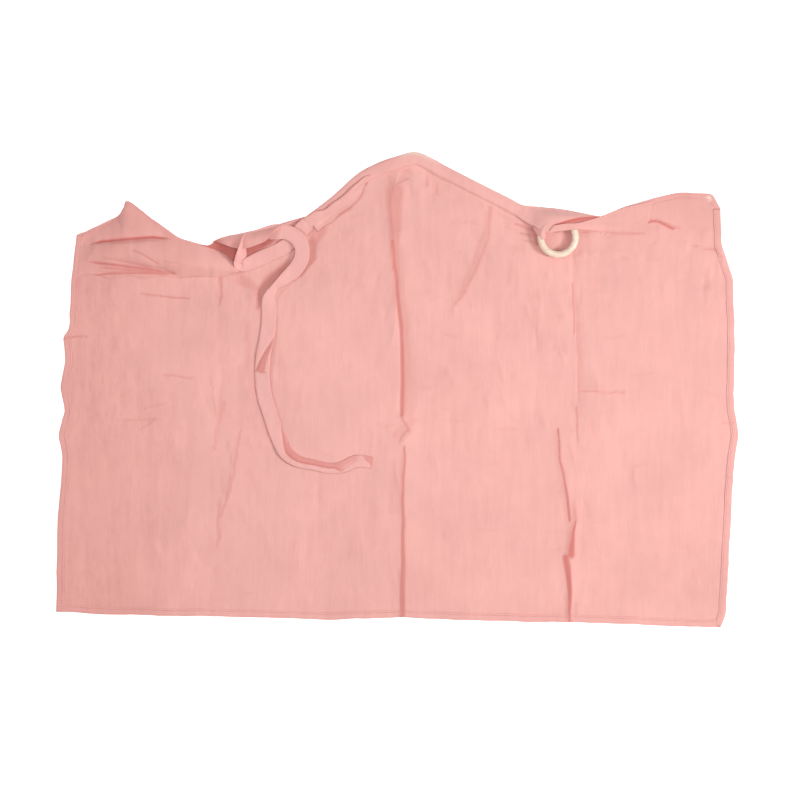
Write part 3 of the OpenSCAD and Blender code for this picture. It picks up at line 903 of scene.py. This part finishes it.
def make_neck_pleat():
    """A pleat of the panel that laps over the casing at the left of the arch."""
    line = casing_line()
    side = leftward(line)
    kept = (line[:, 0] > PLEAT_ENDS[0]) & (line[:, 0] < PLEAT_ENDS[1])
    line, side = line[kept], side[kept]
    line_x, line_y = line[:, 0:1], line[:, 1:2]
    across = np.linspace(0, 1, 14)[None, :]
    open_share = ease((PLEAT_ENDS[1] - line_x) / 34)
    uneven = 1.2 * noise(line_x, line_y, 12, 12, 22)
    root = ease((-104 - line_x) / 20)
    reach = 9 + 2.5 * (1 - open_share) - 7 * root + uneven + across * (20 * open_share + 6 * root)
    x, y = beside(line, side, reach)
    level = ground(x, y)[0]
    z = between(5.9 - 0.3 * root, level + 1.4, ease(across * 1.1))
    z = np.maximum(z, np.where(reach < CASING_W, 5.1 + 0.3 * root, level + 0.6))
    z = z + 0.2 * noise(x, y, 7, 7, 23)
    z[-4:] -= np.array([[0.2], [0.5], [0.9], [1.4]])
    # Painted shade along the pleat's outer and inner edges, fainter where it closes and at its root
    tone = 0.06 + 0.7 * bell(across, 0.07) + 0.6 * bell(1 - across, 0.06)
    shade = np.clip(tone * (0.4 + 0.6 * open_share) * (1 - 0.6 * root), 0, 1)
    return cloth("neck_pleat", x, y, z, shade, thickness=0.5)


def spread(low, high, columns, rows):
    """A grid in plan between two lines drawn left to right, with its shares upward and along."""
    s, t = np.meshgrid(np.linspace(0, 1, columns), np.linspace(0, 1, rows))
    a, b = (points_at(line, s[0] * lengths(line)[-1]) for line in (smooth(low, 8), smooth(high, 8)))
    grid = between(a, b, t[..., None])
    return grid[..., 0], grid[..., 1], t, s


# The lower and upper edges of the rolled corner, and its creases: as CREASES, with a width of shade
ROLL_LOW = [(-469, 163), (-440, 166), (-417, 160), (-390, 164), (-366, 161), (-340, 164), (-317, 162),
            (-287, 164), (-256, 163), (-229, 168)]
ROLL_HIGH = [(-463, 221), (-404, 250), (-391, 273), (-354, 245), (-317, 219), (-275, 206),
             (-250, 196), (-236, 184), (-229, 171)]
ROLL_CREASES = [
    ([(-456, 208), (-428, 214), (-391, 217), (-355, 220), (-318, 217)], -4.5, 3, 9, 1.0, 2.6),
    ([(-428, 211), (-391, 213), (-360, 216), (-330, 215)], -1.5, 3, 5, 0.45, 4.0),
    ([(-465, 162), (-417, 168), (-366, 169), (-312, 166)], -2.6, 4, 5, 0.7, 2.4),
    ([(-460, 186), (-417, 181), (-359, 174), (-318, 167)], -2.4, 3, 6, 0.8, 2.2),
    ([(-445, 178), (-400, 174), (-352, 170), (-318, 167)], -1.6, 3, 4, 0.65, 1.8),
    ([(-452, 184), (-415, 178), (-372, 172)], -0.8, 2, 3, 0.4, 1.3),
    ([(-420, 189), (-382, 182), (-345, 172)], -0.9, 2, 3, 0.5, 1.3),
    ([(-405, 177), (-370, 173.5), (-330, 168.5)], -0.9, 2, 3, 0.6, 1.4),
    ([(-376, 173), (-345, 171), (-314, 167)], -0.6, 3, 4, 0.6, 3.4),
    ([(-440, 192), (-380, 183), (-330, 170)], -1.2, 3, 5, 0.4, 2.2),
    ([(-430, 168), (-390, 172), (-340, 169)], -1.0, 3, 4, 0.5, 1.8),
    ([(-388, 203), (-370, 196), (-355, 187), (-341, 178)], -1.3, 3, 5, 0.55, 1.6),
    ([(-345, 186), (-318, 182), (-300, 176)], -0.7, 4, 5, 0.3, 2.0),
    ([(-444, 222), (-437, 204), (-452, 182)], 1.2, 4, 8, 0.25, 3.0),
    ([(-408, 255), (-398, 236), (-380, 226)], -0.8, 5, 6, 0.15, 3.0),
]


def creased(x, y, z, creases):
    """Height of cloth with creases pressed into it, and the shade painted along them."""
    painted_shade = np.zeros(np.shape(x))
    for route, height, right, left, tone, width in creases:
        d, taper, _, rise = pressed(route, x, y, height, right, left, 0.2, 1.0)
        z = z + rise
        painted_shade = np.maximum(painted_shade, tone * taper * bell(d, width))
    return z, painted_shade


# How far up the rolled corner its ridge is
ROLL_RIDGE = 0.42


def make_corner_roll():
    """The top-left corner, rolled over and tented, with wrinkles that fan out of the fold."""
    x, y, t, s = spread(ROLL_LOW, ROLL_HIGH, 210, 90)
    height = 13 * ease((s + 0.02) / 0.26) * (1 - 0.55 * ease((s - 0.55) / 0.5))
    rise = np.where(t < ROLL_RIDGE, np.sin(np.pi / 2 * np.minimum(t, ROLL_RIDGE) / ROLL_RIDGE) ** 1.3,
                    np.cos(np.pi / 2 * (t - ROLL_RIDGE) / (1 - ROLL_RIDGE)) ** 0.8)
    z = 2.4 + height * rise + 0.5 * noise(x, y, 20, 16, 11) * rise + crinkle(x, y)
    z, painted_shade = creased(x, y, z, ROLL_CREASES)
    under = ground(x, y)[0]
    z = np.maximum(z, under + 0.6)
    z[0, :] = under[0, :] + 0.1
    z[:, 0] = under[:, 0] + 0.5
    # Painted shade over the whole roll, less towards its right end, and deeper on the slope towards the
    # top edge
    painted_shade = np.maximum(painted_shade, 0.26 * ease((t - 0.6) / 0.4) * (1 - ease((s - 0.6) / 0.2)))
    painted_shade = np.maximum(painted_shade, 0.19 + 0.05 * noise(x, y, 30, 20, 25) - 0.08 * ease((s - 0.6) / 0.3))
    return cloth("corner_roll", x, y, z, painted_shade, thickness=0.6)


BAND_LOW = [(-262, 213), (-250, 209), (-236, 204), (-220, 203), (-204, 208), (-190, 214),
            (-184, 222), (-168, 232)]
BAND_HIGH = [(-268, 214), (-255, 220), (-236, 224), (-218, 228), (-200, 231.5), (-182, 236),
             (-160, 243), (-136, 250)]


def make_neck_band():
    """The hem beside the arch, arched over the strap where it doubles back."""
    x, y, t, s = spread(BAND_LOW, BAND_HIGH, 90, 16)
    lift = ease((s + 0.1) / 0.3) * (1 - 0.6 * ease((s - 0.72) / 0.28))
    z = 2.0 + 13 * lift * np.cos(1.42 * np.maximum(t - 0.35, 0) / 0.65) ** 0.7
    z = z + 0.35 * noise(x, y, 8, 8, 12)
    # Painted shade all over the band, deepest at its left end over the hollow
    painted_shade = 0.2 + 0.08 * noise(x, y, 14, 14, 13) + 0.6 * (1 - ease(s / 0.14))
    return cloth("neck_band", x, y, z, np.clip(painted_shade, 0, 1), thickness=0.8)


# The two folds over the ring: the lower and upper edges of each, and the gap between them, lowered and
# painted in shade
BACK_LOW = [(166, 257), (180, 246), (195, 237), (212, 227), (226, 226), (248, 231), (275, 239),
            (294, 249)]
BACK_HIGH = [(172, 270), (186, 266), (200, 265), (217, 263.5), (236, 261.5), (254, 258.5),
             (272, 255), (295, 250.5)]
PLEAT_LOW = [(217, 226), (236, 228), (253, 230), (272, 230), (294, 228), (323, 226), (358, 225)]
PLEAT_HIGH = [(225, 236), (243, 239), (259, 239.5), (279, 245.5), (294, 250.5), (326, 263),
              (370, 274)]
SLIT_X, SLIT_Y = [224, 243, 261, 283, 294], [237.5, 243.5, 248.5, 251, 251]


def over_ring(x, y, top):
    """Height of cloth that lies over the ring's bar and drops away from it."""
    d = np.hypot(x - RING_CENTRE[0], y - RING_CENTRE[1])
    out = np.maximum(d - RING_R, 0)
    return 2.6 + (top - 2.6) * (1 - ease(out / 46))


def make_ring_folds():
    """Two folds over the top of the ring, one behind the other with a gap between them, lowered and
    painted in shade.
    """
    x, y, t, s = spread(BACK_LOW, BACK_HIGH, 80, 30)
    joined = 1 - ease((x - 168) / 52)
    z = between(over_ring(x, y, 15.9), 6.3, joined)
    z = z - 0.8 * (z - 1.5) * ease((t - 0.6) / 0.4) ** 1.3 * (1 - joined)
    z = z + 0.25 * noise(x, y, 9, 7, 14)
    z = z - 2.4 * (1 - ease(s / 0.14))
    slit_y = np.interp(x, SLIT_X, SLIT_Y)
    slit = ease((slit_y + 1.2 - y) / 2.6) * ease((x - 221) / 8)
    z = np.maximum(z - 1.2 * slit, 1.0)
    # Painted shade in the slit between the two folds
    shade = np.clip(0.04 + 0.72 * slit + 0.25 * slit * ease((y - slit_y + 7) / 6), 0, 1)
    back = cloth("ring_fold_back", x, y, z, shade, thickness=0.5)
    x, y, t, s = spread(PLEAT_LOW, PLEAT_HIGH, 110, 26)
    flatten = ease((s - 0.5) / 0.45)
    z = between(over_ring(x, y, 17.2), ground(x, y)[0] + 0.5, flatten)
    z = z - 1.6 * (1 - ease(t / 0.3)) * (1 - flatten)
    z = z + 0.25 * noise(x, y, 10, 6, 15)
    # Painted shade along the front fold's lower edge
    edge = 0.06 + 0.05 * s + 0.25 * bell(t, 0.07) * ease(s / 0.1)
    return [back, cloth("ring_fold_front", x, y, z, edge, thickness=0.5)]


# ------------ the tab

# Where on the ring the tab's two edges are, in degrees, its gap over the bar and its thickness, and
# the heights at which its upper and lower layers leave the casing
TAB_FROM, TAB_TO = 112, 190
TAB_GAP, TAB_T = 0.3, 0.9
TAB_ROOT_TOP, TAB_ROOT_LOW = 6.4, 4.9
TAB_COLUMNS = 15


def make_tab():
    """The loop of cloth that leaves the casing's end and wraps round the ring's bar."""
    line = casing_line()
    across = leftward(line)[0]
    outer, inner = line[0] + across * 0.5, line[0] + across * (CASING_W - 0.5)
    wrap = BAR_R + TAB_GAP + TAB_T
    rows = []
    for w in np.arange(TAB_COLUMNS) / (TAB_COLUMNS - 1):
        angle = math.radians(TAB_FROM + (TAB_TO - TAB_FROM) * w)
        out = np.array([math.cos(angle), math.sin(angle)])
        centre = np.array(RING_CENTRE[:2]) + RING_R * out
        root = between(outer, inner, w)
        path = []
        for turn in range(100, 271, 12):
            a = math.radians(turn)
            path.append((*(centre + out * (wrap * math.cos(a))), RING_CENTRE[2] + wrap * math.sin(a)))
        first, last = np.array(path[0]), np.array(path[-1])
        top = [(*between(root, first[:2], q), between(TAB_ROOT_TOP, first[2], ease(q)))
               for q in np.linspace(0, 1, 9)[:-1]]
        low = [(*between(last[:2], root, q), between(last[2], TAB_ROOT_LOW, ease(q)))
               for q in np.linspace(0, 1, 7)[1:]]
        rows.append(top + path + low)
    x, y, z = np.moveaxis(np.array(rows), -1, 0)
    z = z + 0.25 * noise(x * 2.0, y * 2.0, 9, 9, 16)
    piece = cloth("tab", x, y, z, np.full(x.shape, 0.05), thickness=TAB_T, body=None)
    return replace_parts(piece, "ring_tab")


# ------------ the strap

# Across the strap, as shares of its width and of its thickness: many points over its upper face
STRAP_TOP = [(k / 24 - 0.5, 0.34 if k in (1, 23) else 0.43) for k in range(1, 24)]
STRAP_SECTION = [(-0.5, 0.0)] + STRAP_TOP + [(0.5, 0.0), (0.47, -0.35), (0.2, -0.4), (-0.2, -0.4),
                                             (-0.47, -0.35)]


def strap_frames():
    """Along the strap: its middle, its direction across, its own up, its width and its route point."""
    numbered = [(*point, k) for k, point in enumerate(STRAP_ROUTE)]
    route = spaced(smooth(numbered, 8), 2.0)
    lean = np.radians(route[:, 3])
    width = STRAP_W * route[:, 4]
    middle = (width * np.abs(np.sin(lean)) + STRAP_T * np.cos(lean)) / 2
    centre = np.column_stack([route[:, :2], route[:, 2] + middle])
    along = np.gradient(centre, axis=0)
    along /= np.linalg.norm(along, axis=1)[:, None]
    flat = np.column_stack([leftward(route), np.zeros(len(route))])
    up = np.cross(along, flat)
    across = np.cos(lean)[:, None] * flat + np.sin(lean)[:, None] * up
    raised = np.cos(lean)[:, None] * up - np.sin(lean)[:, None] * flat
    return centre, across, raised, width, route[:, 5]


def make_strap():
    """The strap as a flat closed tube along its route, shaded where it doubles lengthwise."""
    centre, across, raised, width, number = strap_frames()
    share, height = np.array(STRAP_SECTION).T
    points = (centre[:, None, :] + across[:, None, :] * share[:, None] * width[:, None, None]
              + raised[:, None, :] * (height[:, None] * STRAP_T))
    at = np.array(STRAP_FOLDS)
    fold, face, line, end = (np.interp(number, at[:, 0], at[:, k])[:, None] for k in (1, 2, 3, 4))
    top = height > 0
    # Painted shade on the strap: the doubled face, the fold line, the underside and a faint line near
    # each edge
    beyond = ease((share - fold) / 0.07 + 0.5) * ease((end - share) / 0.09 + 0.5)
    crease = line * bell(share - fold, 0.05)
    shade = np.where(top, np.maximum(face * beyond, crease), 0.1)
    shade = np.maximum(shade, 0.08 * bell(np.abs(share) - 0.38, 0.04))
    x, y, z = np.moveaxis(points, -1, 0)
    z = z - np.where(top, 1.1 * (face > 0.05) * bell(share - fold, 0.09), 0)
    z = z + 0.2 * noise(x, y, 9, 9, 17) + 0.22 * noise(x, y, 4.5, 6, 27) * top
    piece = cloth("strap", x, y, np.maximum(z, 0.3), shade, "strap_muslin", tube=True)
    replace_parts(piece, "neck_strap")


# ------------ lights, floor and camera

# The place that the camera looks down at, the width that it sees there, and its height, in metres
VIEW_CENTRE = (0.0036, -0.0152)
VIEW_WIDTH = 1.160
CAMERA_HEIGHT = 2.4
FLOOR_REACH = 60


def make_camera():
    """A camera that looks straight down."""
    data = bpy.data.cameras.new("camera")
    data.sensor_width = 36
    data.lens = data.sensor_width * CAMERA_HEIGHT / VIEW_WIDTH
    camera = bpy.data.objects.new("camera", data)
    camera.location = (*VIEW_CENTRE, CAMERA_HEIGHT)
    bpy.context.scene.collection.objects.link(camera)
    bpy.context.scene.camera = camera


def make_floor():
    """A plain pale floor, just under the cloth."""
    mesh = bpy.data.meshes.new("floor")
    corners = [(-1, -1), (1, -1), (1, 1), (-1, 1)]
    mesh.from_pydata([(x * FLOOR_REACH, y * FLOOR_REACH, 0) for x, y in corners], [], [(0, 1, 2, 3)])
    material, tree, shader = node_setup("floor_paper")
    for socket, value in (("Base Color", (0.92, 0.92, 0.92)), ("Roughness", 0.9),
                          ("Emission Color", WHITE), ("Emission Strength", 0.6)):
        put(tree, shader.inputs[socket], value)
    mesh.materials.append(material)
    floor = bpy.data.objects.new("floor", mesh)
    floor.location.z = -0.0005
    bpy.context.scene.collection.objects.link(floor)


def area_light(name, place, aim, size, watts):
    """A round white light that faces a point."""
    data = bpy.data.lights.new(name, "AREA")
    data.shape = "DISK"
    data.size = size
    data.energy = watts
    light = bpy.data.objects.new(name, data)
    light.location = place
    direction = Vector(aim) - Vector(place)
    light.rotation_euler = direction.to_track_quat("-Z", "Y").to_euler()
    bpy.context.scene.collection.objects.link(light)
    return light


def make_lights():
    """Soft light all round, with a stronger light from the right."""
    world = bpy.data.worlds.new("studio")
    bpy.context.scene.world = world
    world.use_nodes = True
    background = world.node_tree.nodes["Background"]
    background.inputs["Color"].default_value = (1, 1, 1, 1)
    background.inputs["Strength"].default_value = 0.33
    area_light("key_right", (2.6, -0.4, 1.8), (0.1, 0, 0), 0.7, 73)
    area_light("key_left", (-2.4, 0.3, 1.6), (-0.2, 0, 0), 0.7, 22)
    area_light("overhead", (0.12, 0.0, 1.5), (0.12, 0, 0), 0.6, 8.5).visible_camera = False
    bpy.context.scene.view_settings.view_transform = "Standard"


# ------------ the whole

make_camera()
make_strap()
make_floor()
make_lights()
panel = make_panel()
on_panel = make_hems() + make_casing()
on_panel.append(bar_tack("tack_strap", "strap_bar_tack", -4))
on_panel.append(bar_tack("tack_tab", "ring_tab_bar_tack", 4))
on_panel += [make_corner_roll(), make_neck_band(), make_neck_pleat()]
ring_folds = make_ring_folds()
for fold in ring_folds:
    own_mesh(fold)
tab = make_tab()
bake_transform(tab)
for node_name, material in (("wooden_ring", WOOD), ("boning_strip", BONING),
                            ("boning_tip_left", BONING), ("boning_tip_right", BONING)):
    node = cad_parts[node_name]
    node.data.materials.clear()
    node.data.materials.append(material)
